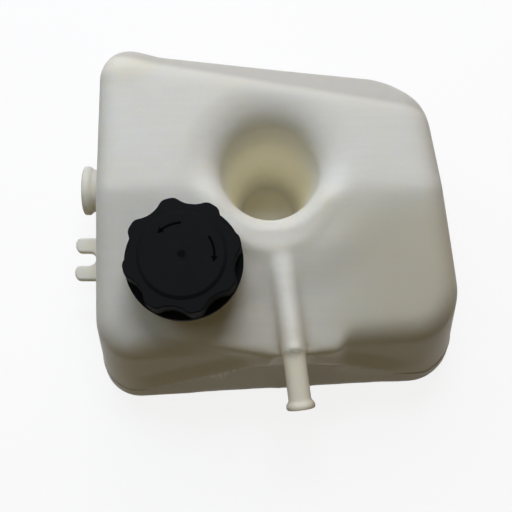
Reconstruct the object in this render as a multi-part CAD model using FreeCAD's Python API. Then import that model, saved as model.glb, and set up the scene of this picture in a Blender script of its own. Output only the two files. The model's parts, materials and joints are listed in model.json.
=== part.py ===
import FreeCAD, Part
import math
import os

from FreeCAD import Vector

# Sizes are in millimetres and angles in degrees. The origin lies on the flat underside of
# the tank, +Z runs up along the filler axis and -Y is the side with the small hose tube.

# Blow-moulded body: a flat rear deck, a front deck that falls towards -Y, four side walls
WALL = 3.5
TOP_Z = 128.0
DECK_FALL = 18.0
RIDGE_Y = 14.0
RIDGE_R = 30.0
EDGE_R = 18.0
FRONT_EDGE_LEFT_R = 28.0
FRONT_EDGE_RIGHT_R = 18.0
BASE_R = 12.0
LEFT_FACING = 180.0
LEFT_REACH = 131.0
FRONT_FACING = -86.8
FRONT_REACH = 112.8
FRONT_LEAN = 15.0
RIGHT_FACING = 9.3
RIGHT_REACH = 119.8
BACK_FACING = 85.0
BACK_REACH = 113.0
DRAFT = 2.5
FRONT_LEFT_R = 28.0
FRONT_RIGHT_R = 34.0
BACK_RIGHT_R = 50.0
BACK_LEFT_R = 22.0

# Bevel along the rear edge of the upper deck, wider towards the right
BEVEL_FACING = 81.5
BEVEL_REACH = 88.9
BEVEL_FALL = 40.0
BEVEL_R = 25.0

# Conical well pinched through to the base, with a round shoulder over the front deck
WELL_X = -6.0
WELL_Y = 29.5
WELL_FLOOR_R = 20.7
WELL_FLOOR_T = 4.0
WELL_FLOOR_FILLET = 3.0
WELL_DRAFT = 6.9
WELL_RIM_R = 13.0
SHOULDER_EDGE_R = 7.0
SHOULDER_DRAFT = 36.0

# Round channel that rises out of the front deck, and the vent tube in line with it
CHANNEL_HEADING = 7.5
CHANNEL_DIP = 10.0
CHANNEL_R = 9.3
CHANNEL_LIFT = 1.5
TUBE_ROOT = 112.0
TUBE_LENGTH = 51.3
TUBE_R = 7.9
TUBE_BORE_R = 5.0
TUBE_BEAD_R = 10.0
TUBE_BEAD_W = 5.0

# Prow in the front wall under the vent tube
PROW_REACH = 8.5
PROW_LEAN = 3.0
PROW_RIGHT_W = 35.0
PROW_RIGHT_SLANT = 70.0
PROW_RIGHT_R = 8.0
PROW_LEFT_W = 16.0
PROW_LEFT_SLANT = 12.0
PROW_LEFT_R = 60.0
PROW_ROOT = 9.0
PROW_EDGE_R = 4.0

# Hose spigot on the left wall
SPIGOT_Y = 36.5
SPIGOT_Z = 45.0
SPIGOT_LENGTH = 16.4
SPIGOT_R = 16.0
SPIGOT_BORE_R = 12.0
SPIGOT_BEAD_R = 18.5
SPIGOT_BEAD_W = 6.0
BEAD_EDGE_R = 1.6

# Forked mounting lug on the left wall
LUG_Y = -18.7
LUG_Z = 52.0
LUG_T = 8.0
LUG_W = 31.8
LUG_LENGTH = 19.5
LUG_TIP_R = 4.0
SLOT_W = 9.8
SLOT_DEPTH = 15.0

# Filler neck and its seat
CAP_X = -63.2
CAP_Y = -38.0
SEAT_R = 33.0
SEAT_RISE = 2.6
SEAT_EDGE_R = 2.5
NECK_BORE_R = 23.0
NECK_HEIGHT = 19.0

# Screw cap
CAP_RING_R = 39.5
CAP_RING_H = 5.0
CAP_LOBE_R = 39.0
CAP_LOBES = 8
CAP_LOBE_TURN = 14.5
CAP_VALLEY_R = 34.4
SCALLOP_R = 19.0
CAP_PLATE = 3.5
CAP_LOBE_EDGE_R = 6.0
CAP_EDGE_R = 1.2
CAP_DISC_R = 29.6
CAP_DISC_RISE = 1.5
CAP_DISC_BEVEL = 2.4
CAP_SEAT_GAP = 2.0
THREAD_ROOM = 2.7
CEILING_GAP = 3.0
HOOK_WALL = 2.4
HOOK_DROP = 5.7
HOOK_LIP = 1.4
HOOK_LIP_T = 1.7
HOOK_SPLITS = 4
HOOK_GAP_W = 7.0

# Valve insert that hangs in the hooks of the cap
INSERT_GAP = 0.7
INSERT_DEPTH = 19.0
INSERT_FLANGE_T = 2.0
INSERT_THROAT_WALL = 1.2
INSERT_FLOOR_T = 2.5
INLET_R = 8.0
SEAT_LIP_W = 1.6
SEAT_LIP_H = 1.0
RING_SECTION_R = 1.4
RING_BELOW_TOP = 11.0
GROOVE_SIDE = 0.2
RING_BORE_GAP = 0.25
RING_GROOVE_GAP = 0.05

# Pressure valve
PLATE_R = 12.5
PLATE_T = 1.5
PLATE_HUB_R = 7.5
PLATE_HUB_H = 1.4
WASHER_T = 1.5
WASHER_HOLE_R = 4.6
BREATHER_R = 1.0
BREATHER_RADIUS = 3.4
BREATHERS = 3
SPRING_WIRE_R = 0.8
SPRING_TURNS = 4.0
SPRING_HUB_GAP = 1.1
COVER_T = 2.0
COVER_VENT_R = 2.0
COVER_VENTS = 6
COVER_LIP = 1.0
COVER_LIP_T = 1.1

# Vacuum valve in the middle of the pressure plate
POPPET_R = 6.4
POPPET_T = 1.4
STEM_R = 1.8
STEM_HOLE_GAP = 0.05
KEEPER_R = 4.2
KEEPER_T = 1.4
LIGHT_WIRE_R = 0.3
LIGHT_SPRING_R = 2.9
LIGHT_SPRING_H = 4.3
LIGHT_TURNS = 3.5

# Clearances between separate pieces
FIT_GAP = 0.3
CONTACT_GAP = 0.05

SAFE = 60.0
UP = Vector(0, 0, 1)


def polar(angle):
    """Unit vector in plan at an angle from +X."""
    return Vector(math.cos(math.radians(angle)), math.sin(math.radians(angle)), 0)


def slope(angle):
    """Rise per unit run of an angle."""
    return math.tan(math.radians(angle))


def rounded_wire(points, radii):
    """Closed wire through the points with each corner rounded by its radius."""
    count = len(points)
    edges = []
    joints = []
    for index, corner in enumerate(points):
        before = (points[index - 1] - corner).normalize()
        after = (points[(index + 1) % count] - corner).normalize()
        radius = radii[index]
        if radius <= 0:
            joints.append((corner, None, corner))
            continue
        half = before.getAngle(after) / 2
        inward = (before + after).normalize()
        run = radius / math.tan(half)
        middle = corner + inward * (radius / math.sin(half) - radius)
        joints.append((corner + before * run, middle, corner + after * run))
    for index, (start, middle, end) in enumerate(joints):
        if middle is not None:
            edges.append(Part.Arc(start, middle, end).toShape())
        following = joints[(index + 1) % count][0]
        if end.distanceToPoint(following) > 1e-6:
            edges.append(Part.LineSegment(end, following).toShape())
    return Part.Wire(edges)


def turned(profile, x, y, radii=None):
    """Solid of revolution about the upright line through x, y from (radius, height) pairs."""
    points = [Vector(x + radius, y, height) for radius, height in profile]
    wire = rounded_wire(points, radii or [0] * len(points))
    return Part.Face(wire).revolve(Vector(x, y, 0), UP, 360)


def tube(outer, inner, low, high):
    """Upright ring on the filler axis."""
    return turned([(inner, low), (outer, low), (outer, high), (inner, high)], CAP_X, CAP_Y)


def rod(radius, low, high):
    """Upright round bar on the filler axis."""
    return Part.makeCylinder(radius, high - low, Vector(CAP_X, CAP_Y, low))


def ring_of(solid, count, x, y):
    """Copies of a solid spaced evenly round an upright axis."""
    copies = []
    for index in range(count):
        copy = solid.copy()
        copy.rotate(Vector(x, y, 0), UP, 360.0 * index / count)
        copies.append(copy)
    return copies


def side_walls():
    """Facing, reach at the base and inward lean of the left, front, right and back walls."""
    return (
        (LEFT_FACING, LEFT_REACH, DRAFT),
        (FRONT_FACING, FRONT_REACH, FRONT_LEAN),
        (RIGHT_FACING, RIGHT_REACH, DRAFT),
        (BACK_FACING, BACK_REACH, DRAFT),
    )


def wall_reach(wall, z, inset=0.0):
    """Plan distance of a leaning wall from the origin at one height."""
    facing, reach, lean = wall
    return reach - z * slope(lean) - inset / math.cos(math.radians(lean))


def plan_corner(wall, other, z, inset):
    """Point where two walls would meet at one height if the corner were sharp."""
    a = polar(wall[0])
    b = polar(other[0])
    reach_a = wall_reach(wall, z, inset)
    reach_b = wall_reach(other, z, inset)
    det = a.x * b.y - b.x * a.y
    return Vector((reach_a * b.y - reach_b * a.y) / det, (a.x * reach_b - b.x * reach_a) / det, z)


def outside_wall(wall, inset):
    """Everything beyond one leaning wall."""
    far = LEFT_REACH + RIGHT_REACH + SAFE
    away = polar(wall[0])
    along = polar(wall[0] + 90) * far
    foot = away * wall_reach(wall, -SAFE, inset) - UP * SAFE - along
    head = away * wall_reach(wall, TOP_Z + 2 * SAFE, inset) + UP * (TOP_Z + 2 * SAFE) - along
    points = [foot, head, head + away * far, foot + away * far, foot]
    return Part.Face(Part.makePolygon(points)).extrude(along * 2)


def walls(inset):
    """Straight-walled block of the body with its four upright corners rounded."""
    far = LEFT_REACH + RIGHT_REACH + SAFE
    block = Part.makeBox(2 * far, 2 * far, TOP_Z + SAFE - inset, Vector(-far, -far, inset))
    sides = side_walls()
    for wall in sides:
        block = block.cut(outside_wall(wall, inset))
    for index, radius in enumerate((FRONT_LEFT_R, FRONT_RIGHT_R, BACK_RIGHT_R, BACK_LEFT_R)):
        foot = plan_corner(sides[index], sides[(index + 1) % len(sides)], inset, inset)
        upright = [
            edge for edge in block.Edges
            if edge.BoundBox.ZLength > TOP_Z
            and min(v.Point.distanceToPoint(foot) for v in edge.Vertexes) < 1e-4
        ]
        block = block.makeFillet(radius - inset, upright)
    return block


def deck_height(y, inset=0.0):
    """Height of the sharp-edged deck at a distance back from the origin."""
    falling = TOP_Z - (RIDGE_Y - y) * slope(DECK_FALL) - inset / math.cos(math.radians(DECK_FALL))
    return min(TOP_Z - inset, falling)


def above_deck(inset):
    """Everything above the two decks, with the rounded ridge between them."""
    far = LEFT_REACH + RIGHT_REACH + SAFE
    flat = TOP_Z - inset
    ridge_y = RIDGE_Y - inset * math.tan(math.radians(DECK_FALL / 2))
    points = [
        Vector(-far, -far, deck_height(-far, inset)),
        Vector(-far, ridge_y, flat),
        Vector(-far, far, flat),
        Vector(-far, far, TOP_Z + 2 * SAFE),
        Vector(-far, -far, TOP_Z + 2 * SAFE),
    ]
    wire = rounded_wire(points, [0, RIDGE_R - inset, 0, 0, 0])
    return Part.Face(wire).extrude(Vector(2 * far, 0, 0))


def above_bevel(inset):
    """Everything above the bevel along the rear edge."""
    far = LEFT_REACH + RIGHT_REACH + SAFE
    away = polar(BEVEL_FACING)
    along = polar(BEVEL_FACING + 90)
    shift = inset * math.tan(math.radians(BEVEL_FALL / 2))
    start = away * (BEVEL_REACH - shift) + UP * (TOP_Z - inset) - along * far
    back = start + away * far
    points = [start, back - UP * (far * slope(BEVEL_FALL)), back + UP * far, start + UP * far]
    return Part.Face(Part.makePolygon(points + points[:1])).extrude(along * (2 * far))


def top_faces(body):
    """Faces of the body that look mostly upwards."""
    found = []
    for face in body.Faces:
        u0, u1, v0, v1 = face.ParameterRange
        if face.normalAt((u0 + u1) / 2, (v0 + v1) / 2).z > 0.6:
            found.append(face)
    return found


def edges_used(faces, times):
    """Edges that appear the given number of times in a set of faces."""
    edges = [edge for face in faces for edge in face.Edges]
    return [e for e in edges if sum(1 for o in edges if o.isSame(e)) == times]


def rim_radius(spot, inset):
    """Rounding of the top edge at a point; it changes along the front edge only."""
    front = side_walls()[1]
    if abs(spot.dot(polar(front[0])) - wall_reach(front, spot.z, inset)) > 1e-3:
        return EDGE_R - inset
    return (FRONT_EDGE_LEFT_R if spot.x < WELL_X else FRONT_EDGE_RIGHT_R) - inset


def round_top(body, inset):
    """Roll the top edge over all the way round, with its radius growing to the front left."""
    rim = edges_used(top_faces(body), 1)
    sizes = []
    for index, edge in enumerate(body.Edges):
        if any(edge.isSame(other) for other in rim):
            start = rim_radius(edge.valueAt(edge.FirstParameter), inset)
            end = rim_radius(edge.valueAt(edge.LastParameter), inset)
            sizes.append((index + 1, start, end))
    document = FreeCAD.newDocument()
    sharp = document.addObject("Part::Feature")
    sharp.Shape = body
    soft = document.addObject("Part::Fillet")
    soft.Base = sharp
    soft.Edges = sizes
    document.recompute()
    rounded = soft.Shape.copy()
    FreeCAD.closeDocument(document.Name)
    return rounded


def tank_volume(inset):
    """Body volume set in from the outer skin, rounded along the top and the base."""
    body = walls(inset).cut(above_deck(inset)).cut(above_bevel(inset))
    crease = [
        edge for edge in edges_used(top_faces(body), 2)
        if edge.CenterOfMass.dot(polar(BEVEL_FACING)) > RIDGE_Y + RIDGE_R
    ]
    body = round_top(body.makeFillet(BEVEL_R - inset, crease[:1]).Solids[0], inset)
    base = [edge for edge in body.Edges if edge.BoundBox.ZMax < inset + 1e-4]
    return body.makeFillet(BASE_R - inset, base)


def corner_run(radius, draft):
    """Length that a rounding takes from a level edge above a wall with draft."""
    return radius / math.tan(math.radians((90 + draft) / 2))


WELL_TOP_R = WELL_FLOOR_R + (TOP_Z - WELL_FLOOR_T) * slope(WELL_DRAFT)
WELL_RIM = WELL_TOP_R + corner_run(WELL_RIM_R, WELL_DRAFT)
SHOULDER_R = WELL_RIM + corner_run(SHOULDER_EDGE_R, SHOULDER_DRAFT) + FIT_GAP


def well(grow):
    """Tapered well down to the base pad, grown by the wall for its inner side."""
    step = grow / math.cos(math.radians(WELL_DRAFT))
    low = WELL_FLOOR_T if grow == 0 else -SAFE
    high = TOP_Z + SAFE
    foot_r = WELL_FLOOR_R + (low - WELL_FLOOR_T) * slope(WELL_DRAFT) + step
    head_r = WELL_FLOOR_R + (high - WELL_FLOOR_T) * slope(WELL_DRAFT) + step
    fillet = WELL_FLOOR_FILLET if grow == 0 else 0
    return turned(
        [(0, low), (foot_r, low), (head_r, high), (0, high)],
        WELL_X, WELL_Y, [0, fillet, 0, 0],
    )


def shoulder(inset):
    """Round shoulder that carries the rim of the well out over the front deck."""
    depth = TOP_Z - deck_height(WELL_Y - SHOULDER_R) + WALL + SHOULDER_EDGE_R
    draft = math.radians(SHOULDER_DRAFT)
    top_r = SHOULDER_R + inset * math.tan(draft) - inset / math.cos(draft)
    foot_r = top_r + (depth - inset) * math.tan(draft)
    return turned(
        [(0, TOP_Z - depth), (foot_r, TOP_Z - depth), (top_r, TOP_Z - inset), (0, TOP_Z - inset)],
        WELL_X, WELL_Y, [0, 0, SHOULDER_EDGE_R - inset, 0],
    )


def heading():
    """Plan direction of the channel and the vent tube."""
    return polar(CHANNEL_HEADING - 90)


def channel_point(distance):
    """Point of the channel axis at a plan distance from the well axis."""
    spot = Vector(WELL_X, WELL_Y, 0) + heading() * distance
    level = deck_height(WELL_Y + heading().y * TUBE_ROOT) + CHANNEL_LIFT
    return spot + UP * (level + (TUBE_ROOT - distance) * slope(CHANNEL_DIP))


def tube_direction():
    """Direction in which the vent tube leaves the tank."""
    return (heading() - UP * slope(CHANNEL_DIP)).normalize()


def channel(inset):
    """Round channel over the front deck with a ball end where the tube leaves it."""
    start = channel_point(WELL_RIM)
    root = channel_point(TUBE_ROOT)
    run = root - start
    bar = Part.makeCylinder(CHANNEL_R - inset, run.Length, start, run)
    return bar.fuse(Part.makeSphere(CHANNEL_R - inset, root))


def beaded_tube(radius, bead_r, bead_w, root, direction, length):
    """Hose spigot with a rounded bead at its tip."""
    profile = [
        (0, 0), (radius, 0), (radius, length - bead_w),
        (bead_r, length - bead_w), (bead_r, length), (0, length),
    ]
    points = [Vector(r, 0, z) for r, z in profile]
    wire = rounded_wire(points, [0, 0, 0, BEAD_EDGE_R, BEAD_EDGE_R, 0])
    body = Part.Face(wire).revolve(Vector(), UP, 360)
    body.Placement = FreeCAD.Placement(root, FreeCAD.Rotation(UP, direction))
    return body


def vent_tube():
    """Small hose tube at the end of the channel."""
    return beaded_tube(
        TUBE_R, TUBE_BEAD_R, TUBE_BEAD_W, channel_point(TUBE_ROOT), tube_direction(), TUBE_LENGTH
    )


def vent_bore():
    """Passage through the vent tube."""
    return Part.makeCylinder(
        TUBE_BORE_R, TUBE_LENGTH + SAFE, channel_point(TUBE_ROOT), tube_direction()
    )


def prow(inset):
    """Stretch of the deck that juts out over the front wall and carries the vent tube."""
    root = channel_point(TUBE_ROOT)
    wall = side_walls()[1]
    outward = polar(wall[0])
    along = polar(wall[0] + 90)
    level = deck_height(root.y)
    drop = PROW_REACH / (slope(FRONT_LEAN) - slope(PROW_LEAN)) + PROW_ROOT
    depth = PROW_REACH + PROW_ROOT
    middle = along * root.dot(along) + UP * TOP_Z
    lip = outward * (wall_reach(wall, level) + PROW_REACH - inset - (TOP_Z - level) * slope(PROW_LEAN))
    right = middle + along * (PROW_RIGHT_W - inset) + lip
    left = middle - along * (PROW_LEFT_W - inset) + lip
    points = [
        left - outward * depth - along * (depth / slope(PROW_LEFT_SLANT)), left, right,
        right - outward * depth + along * (depth / slope(PROW_RIGHT_SLANT)),
    ]
    plan = rounded_wire(points, [0, PROW_LEFT_R - inset, PROW_RIGHT_R - inset, 0])
    down = (outward * slope(PROW_LEAN) - UP) * (TOP_Z - level + drop)
    swelling = Part.Face(plan).extrude(down).cut(above_deck(inset))
    back = points[0].dot(outward)
    crown = [
        edge for edge in edges_used(top_faces(swelling), 1)
        if edge.CenterOfMass.dot(outward) - (TOP_Z - edge.CenterOfMass.z) * slope(PROW_LEAN) > back + 1e-3
    ]
    return swelling.makeFillet(PROW_EDGE_R - inset, crown)


def left_wall_x(z):
    """Outer face of the left wall at one height."""
    return -wall_reach(side_walls()[0], z)


def side_spigot():
    """Large hose spigot on the left wall."""
    root = Vector(left_wall_x(SPIGOT_Z) + WALL + SPIGOT_BEAD_W, SPIGOT_Y, SPIGOT_Z)
    length = SPIGOT_LENGTH + WALL + SPIGOT_BEAD_W
    return beaded_tube(SPIGOT_R, SPIGOT_BEAD_R, SPIGOT_BEAD_W, root, Vector(-1, 0, 0), length)


def side_bore():
    """Passage through the large hose spigot."""
    root = Vector(left_wall_x(SPIGOT_Z) + SAFE, SPIGOT_Y, SPIGOT_Z)
    return Part.makeCylinder(SPIGOT_BORE_R, 2 * SAFE + SPIGOT_LENGTH, root, Vector(-1, 0, 0))


def lug():
    """Flat forked lug that takes a bolt in its open slot."""
    wall_x = left_wall_x(LUG_Z)
    tip = wall_x - LUG_LENGTH
    end = tip + SLOT_DEPTH
    inner = wall_x + WALL + LUG_TIP_R
    low = LUG_Z - LUG_T / 2
    half = LUG_W / 2
    slot = SLOT_W / 2
    outline = [
        (inner, half), (tip, half), (tip, slot), (end, slot),
        (end, -slot), (tip, -slot), (tip, -half), (inner, -half),
    ]
    points = [Vector(x, LUG_Y + y, low) for x, y in outline]
    tip_r = LUG_TIP_R
    wire = rounded_wire(points, [0, tip_r, tip_r, slot, slot, tip_r, tip_r, 0])
    return Part.Face(wire).extrude(UP * LUG_T)


# Heights and radii of the filler, the cap and its insert follow from the deck under the cap
SEAT_TOP = deck_height(CAP_Y + CAP_RING_R) + SEAT_RISE
NECK_TOP = SEAT_TOP + NECK_HEIGHT
NECK_R = NECK_BORE_R + WALL
CAP_BASE = SEAT_TOP + CAP_SEAT_GAP
CAP_BORE_R = NECK_R + THREAD_ROOM
CEILING = NECK_TOP + CEILING_GAP
CAP_TOP = CEILING + CAP_PLATE
HOOK_R = NECK_BORE_R - 2 * FIT_GAP
HOOK_INNER_R = HOOK_R - HOOK_WALL
HOOK_LIP_R = HOOK_INNER_R - HOOK_LIP
HOOK_LOW = CEILING - HOOK_DROP
INSERT_R = NECK_BORE_R - INSERT_GAP
INSERT_TOP = HOOK_LOW - FIT_GAP
INSERT_LOW = INSERT_TOP - INSERT_DEPTH
THROAT_R = HOOK_LIP_R - FIT_GAP
INSERT_BORE_R = THROAT_R - INSERT_THROAT_WALL
FLANGE_R = HOOK_INNER_R - FIT_GAP
FLANGE_LOW = HOOK_LOW + HOOK_LIP_T + FIT_GAP
FLANGE_TOP = FLANGE_LOW + INSERT_FLANGE_T
FLOOR_TOP = INSERT_LOW + INSERT_FLOOR_T
RING_R = NECK_BORE_R - RING_BORE_GAP - RING_SECTION_R
RING_Z = INSERT_TOP - RING_BELOW_TOP
WASHER_LOW = FLOOR_TOP + SEAT_LIP_H + CONTACT_GAP
PLATE_LOW = WASHER_LOW + WASHER_T + CONTACT_GAP
PLATE_TOP = PLATE_LOW + PLATE_T
HUB_TOP = PLATE_TOP + PLATE_HUB_H
COVER_TOP = FLANGE_TOP - COVER_LIP_T - CONTACT_GAP
COVER_LOW = COVER_TOP - COVER_T
KEEPER_LOW = HUB_TOP + LIGHT_SPRING_H + 2 * CONTACT_GAP
KEEPER_TOP = KEEPER_LOW + KEEPER_T


def filler(inset):
    """Seat and neck of the filler, standing square on the sloping deck."""
    low = deck_height(CAP_Y - SEAT_R) - WALL - EDGE_R
    radius = SEAT_R - inset
    seat = turned(
        [(0, low), (radius, low), (radius, SEAT_TOP - inset), (0, SEAT_TOP - inset)],
        CAP_X, CAP_Y, [0, 0, 0 if inset else SEAT_EDGE_R, 0],
    )
    if inset:
        return seat.fuse(rod(NECK_BORE_R, low, NECK_TOP + SAFE))
    return seat.fuse(rod(NECK_R, low, NECK_TOP))


def rim_edges(body, z, radius):
    """Round edges of the well at one height."""
    axis = Vector(WELL_X, WELL_Y, z)
    return [
        edge for edge in body.Edges
        if max(abs(v.Point.distanceToPoint(axis) - radius) for v in edge.Vertexes) < 1e-3
        and abs(edge.CenterOfMass.z - z) < 1e-3
    ]


def dished_volume(inset, top_r):
    """Body volume with the well sunk through its shoulder and the rim rounded."""
    body = tank_volume(inset).fuse(shoulder(inset)).cut(well(inset)).removeSplitter()
    return body.makeFillet(WELL_RIM_R - inset, rim_edges(body, TOP_Z - inset, top_r))


def tank_body():
    """Hollow tank moulded in one piece."""
    outer = dished_volume(0, WELL_TOP_R)
    for piece in (prow(0), channel(0), vent_tube(), filler(0), side_spigot(), lug()):
        outer = outer.fuse(piece)
    under_rim = WELL_TOP_R - WALL * slope(WELL_DRAFT) + WALL / math.cos(math.radians(WELL_DRAFT))
    inner = dished_volume(WALL, under_rim)
    for piece in (prow(WALL), channel(WALL), filler(WALL), vent_bore(), side_bore()):
        inner = inner.fuse(piece)
    return outer.cut(inner)


def cap_grip():
    """Round grip with scalloped hand hold."""
    grip = turned(
        [(0, CAP_BASE), (CAP_LOBE_R, CAP_BASE), (CAP_LOBE_R, CAP_TOP), (0, CAP_TOP)],
        CAP_X, CAP_Y,
    )
    place = Vector(CAP_X, CAP_Y, CAP_BASE - SAFE)
    spot = place + polar(CAP_LOBE_TURN + 180.0 / CAP_LOBES) * (CAP_VALLEY_R + SCALLOP_R)
    scallop = Part.makeCylinder(SCALLOP_R, 3 * SAFE, spot)
    for cutter in ring_of(scallop, CAP_LOBES, CAP_X, CAP_Y):
        grip = grip.cut(cutter)
    upright = [edge for edge in grip.Edges if edge.BoundBox.ZLength > CAP_RING_H]
    grip = grip.makeFillet(CAP_LOBE_EDGE_R, upright)
    crown = [edge for edge in grip.Edges if edge.BoundBox.ZMin > CAP_TOP - 1e-4]
    return grip.makeFillet(CAP_EDGE_R, crown)


def cap_shell():
    """Screw cap with hooks under its ceiling for the valve insert."""
    ring_top = CAP_BASE + CAP_RING_H
    edge = CAP_EDGE_R / 2
    skirt = turned(
        [(0, CAP_BASE), (CAP_RING_R, CAP_BASE), (CAP_RING_R, ring_top), (0, ring_top)],
        CAP_X, CAP_Y, [0, edge, edge, 0],
    )
    disc_top = CAP_TOP + CAP_DISC_RISE
    disc = turned(
        [
            (0, CAP_TOP - CAP_PLATE), (CAP_DISC_R, CAP_TOP - CAP_PLATE), (CAP_DISC_R, CAP_TOP),
            (CAP_DISC_R - CAP_DISC_BEVEL, disc_top), (0, disc_top),
        ],
        CAP_X, CAP_Y,
    )
    shell = cap_grip().fuse(skirt).fuse(disc).cut(rod(CAP_BORE_R, CAP_BASE - SAFE, CEILING))
    hooks = turned(
        [
            (HOOK_LIP_R, HOOK_LOW), (HOOK_R, HOOK_LOW), (HOOK_R, CEILING + CAP_PLATE / 2),
            (HOOK_INNER_R, CEILING + CAP_PLATE / 2), (HOOK_INNER_R, HOOK_LOW + HOOK_LIP_T),
            (HOOK_LIP_R, HOOK_LOW + HOOK_LIP_T),
        ],
        CAP_X, CAP_Y,
    )
    gap = Part.makeBox(
        HOOK_R + SAFE, HOOK_GAP_W, HOOK_DROP, Vector(CAP_X, CAP_Y - HOOK_GAP_W / 2, HOOK_LOW)
    )
    for cutter in ring_of(gap, HOOK_SPLITS, CAP_X, CAP_Y):
        hooks = hooks.cut(cutter)
    return shell.fuse(hooks).removeSplitter()


def valve_insert():
    """Cup that hangs in the cap, seals in the neck and holds both valves."""
    groove_r = RING_R - RING_SECTION_R - RING_GROOVE_GAP
    half = RING_SECTION_R + GROOVE_SIDE
    lip_r = INSERT_BORE_R - COVER_LIP
    lip_low = FLANGE_TOP - COVER_LIP_T
    return turned(
        [
            (INLET_R, INSERT_LOW), (INSERT_R, INSERT_LOW),
            (INSERT_R, RING_Z - half), (groove_r, RING_Z - half),
            (groove_r, RING_Z + half), (INSERT_R, RING_Z + half),
            (INSERT_R, INSERT_TOP), (THROAT_R, INSERT_TOP),
            (THROAT_R, FLANGE_LOW), (FLANGE_R, FLANGE_LOW),
            (FLANGE_R, FLANGE_TOP), (lip_r, FLANGE_TOP),
            (lip_r, lip_low), (INSERT_BORE_R, lip_low),
            (INSERT_BORE_R, FLOOR_TOP), (INLET_R + SEAT_LIP_W, FLOOR_TOP),
            (INLET_R + SEAT_LIP_W, FLOOR_TOP + SEAT_LIP_H), (INLET_R, FLOOR_TOP + SEAT_LIP_H),
        ],
        CAP_X, CAP_Y,
    )


def neck_ring():
    """Rubber ring in the groove of the insert."""
    return Part.makeTorus(RING_R, RING_SECTION_R, Vector(CAP_X, CAP_Y, RING_Z))


def pressure_washer():
    """Rubber washer that closes the valve seat."""
    return tube(PLATE_R, WASHER_HOLE_R, WASHER_LOW, WASHER_LOW + WASHER_T)


def pressure_plate():
    """Plate that the main spring holds on the valve seat."""
    plate = rod(PLATE_R, PLATE_LOW, PLATE_TOP).fuse(rod(PLATE_HUB_R, PLATE_LOW, HUB_TOP))
    plate = plate.cut(rod(STEM_R + STEM_HOLE_GAP, PLATE_LOW - SAFE, HUB_TOP + SAFE))
    hole = Part.makeCylinder(
        BREATHER_R, SAFE, Vector(CAP_X + BREATHER_RADIUS, CAP_Y, PLATE_LOW - SAFE / 2)
    )
    for cutter in ring_of(hole, BREATHERS, CAP_X, CAP_Y):
        plate = plate.cut(cutter)
    return plate.removeSplitter()


def coil(mean_r, wire_r, low, high, turns):
    """Coil spring of round wire on the filler axis, climbing by half turns between flat ends."""
    halves = int(round(2 * turns))
    step = (high - low - 2 * wire_r) / (halves - 2)
    level = low + wire_r
    spring = None
    for index in range(halves):
        side = 1 if index % 2 == 0 else -1
        climb = step if 0 < index < halves - 1 else 0
        start = Vector(CAP_X + side * mean_r, CAP_Y, level)
        middle = Vector(CAP_X, CAP_Y, level + climb / 2)
        section = Part.Face(Part.Wire(Part.makeCircle(wire_r, start, Vector(0, 1, 0))))
        half = section.revolve(middle, Vector(side * climb, 0, 2 * mean_r), 180)
        spring = spring.fuse(half) if spring else half
        level += climb
    return spring


def pressure_spring():
    """Main spring between the pressure plate and the cover."""
    mean_r = PLATE_HUB_R + SPRING_HUB_GAP + SPRING_WIRE_R
    low = PLATE_TOP + CONTACT_GAP
    return coil(mean_r, SPRING_WIRE_R, low, COVER_LOW - CONTACT_GAP, SPRING_TURNS)


def spring_cover():
    """Vented cover that snaps under the lip of the insert and takes the spring."""
    cover = rod(INSERT_BORE_R - FIT_GAP, COVER_LOW, COVER_TOP)
    reach = (PLATE_HUB_R + SPRING_HUB_GAP + INSERT_BORE_R) / 2 + SPRING_WIRE_R
    vent = Part.makeCylinder(
        COVER_VENT_R, SAFE, Vector(CAP_X + reach, CAP_Y, COVER_LOW - SAFE / 2)
    )
    for cutter in ring_of(vent, COVER_VENTS, CAP_X, CAP_Y):
        cover = cover.cut(cutter)
    return cover


def vacuum_poppet():
    """Small disc under the washer on a stem through the pressure plate."""
    top = WASHER_LOW - CONTACT_GAP
    stem = rod(STEM_R, top - POPPET_T, KEEPER_TOP)
    return rod(POPPET_R, top - POPPET_T, top).fuse(stem).removeSplitter()


def stem_keeper():
    """Keeper on the stem that the light spring pushes up."""
    return tube(KEEPER_R, STEM_R + CONTACT_GAP, KEEPER_LOW, KEEPER_TOP)


def vacuum_spring():
    """Light spring between the pressure plate and the keeper."""
    low = HUB_TOP + CONTACT_GAP
    return coil(LIGHT_SPRING_R, LIGHT_WIRE_R, low, low + LIGHT_SPRING_H, LIGHT_TURNS)


def main():
    """Build each piece and write it to its own file."""
    os.makedirs("parts", exist_ok=True)
    pieces = {
        "tank_body": tank_body(),
        "cap_shell": cap_shell(),
        "valve_insert": valve_insert(),
        "neck_ring": neck_ring(),
        "spring_cover": spring_cover(),
        "pressure_spring": pressure_spring(),
        "pressure_plate": pressure_plate(),
        "pressure_washer": pressure_washer(),
        "vacuum_poppet": vacuum_poppet(),
        "vacuum_spring": vacuum_spring(),
        "stem_keeper": stem_keeper(),
    }
    for name, shape in pieces.items():
        shape.Solids[0].exportStep("parts/" + name + ".step")


if __name__ == "__main__":
    main()
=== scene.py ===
"""Looks of a coolant expansion tank: a milky blow-moulded tank with a black screw cap."""

import json
import logging
import math
from dataclasses import dataclass
from enum import Enum
from typing import Any, Callable, Optional, Union

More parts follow.
